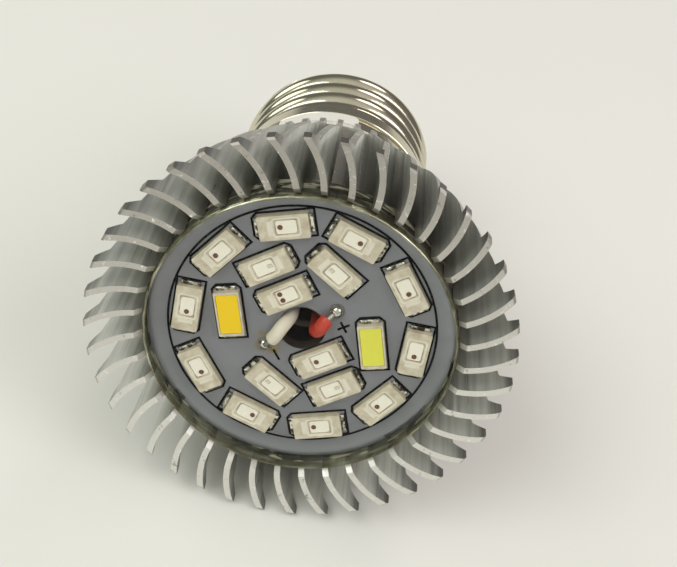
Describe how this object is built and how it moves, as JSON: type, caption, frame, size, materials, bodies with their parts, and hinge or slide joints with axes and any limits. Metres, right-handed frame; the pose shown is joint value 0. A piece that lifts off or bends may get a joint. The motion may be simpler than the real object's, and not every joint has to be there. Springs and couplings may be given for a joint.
{
  "type": "led grow light bulb",
  "caption": "Screw-cap LED grow bulb with a bowl of curved aluminium fins, a clear-covered board of flat lamps with amber and lemon ones, a plain white neck label and a threaded metal cap.",
  "frame": {"origin": "on the bulb's axis, in the flat plane of the fins' front edges: bottom centre of the bounding box, with the bulb standing on its light face", "axes": "+Z along the bulb's axis from the light face up to the centre contact of the screw cap; +X through the middle of an outer lamp, on the side of the plus pad"},
  "size_m": [0.048, 0.048, 0.0614],
  "materials": {
    "fins": "satin",
    "clear_cover": "gloss",
    "board_mask": "matte",
    "lamp_body": "satin",
    "lamp_window": "gloss",
    "lamp_die": "matte",
    "lamp_chip": "satin",
    "tinned_metal": "satin",
    "solder": "gloss",
    "amber_phosphor": "satin",
    "lemon_phosphor": "satin",
    "white_insulation": "satin",
    "red_insulation": "satin",
    "white_plastic": "satin",
    "nickel_shell": "polished",
    "white_label": "satin",
    "dark_insulator": "gloss",
    "contact_metal": "satin",
    "driver_laminate": "matte",
    "ferrite": "matte",
    "winding_tape": "satin",
    "capacitor_sleeve": "gloss",
    "black_resin": "matte",
    "resistor_body": "matte"
  },
  "bodies": {
    "root": {"base_insulator": "dark_insulator", "bridge_rectifier": "black_resin", "centre_contact": "contact_metal", "clear_cover": "clear_cover", "driver_board": "driver_laminate", "driver_chip": "black_resin", "driver_housing": "white_plastic", "fusible_resistor": "resistor_body", "heat_sink": "fins", "input_capacitor": "capacitor_sleeve", "led_01": "lamp_body", "led_02": "lamp_body", "led_03": "lamp_body", "led_04": "lamp_body", "led_05": "lamp_body", "led_06": "lamp_body", "led_07": "lamp_body", "led_08": "lamp_body", "led_09": "lamp_body", "led_10": "lamp_body", "led_11": "lamp_body", "led_12": "lamp_body", "led_13": "lamp_body", "led_14": "lamp_body", "led_15": "lamp_body", "led_16": "lamp_body", "led_17": "lamp_body", "led_18": "lamp_body", "led_board": "board_mask", "led_chips": "lamp_chip", "led_dies": "lamp_die", "led_terminals": "tinned_metal", "led_windows": "lamp_window", "live_lead": "tinned_metal", "neck_label": "white_label", "neutral_lead": "tinned_metal", "output_capacitor": "capacitor_sleeve", "phosphor_amber": "amber_phosphor", "phosphor_lemon": "lemon_phosphor", "screw_shell": "nickel_shell", "solder_joints": "solder", "transformer_core": "ferrite", "transformer_winding": "winding_tape", "wire_ends": "tinned_metal", "wire_red": "red_insulation", "wire_white": "white_insulation"}
  },
  "joints": []
}
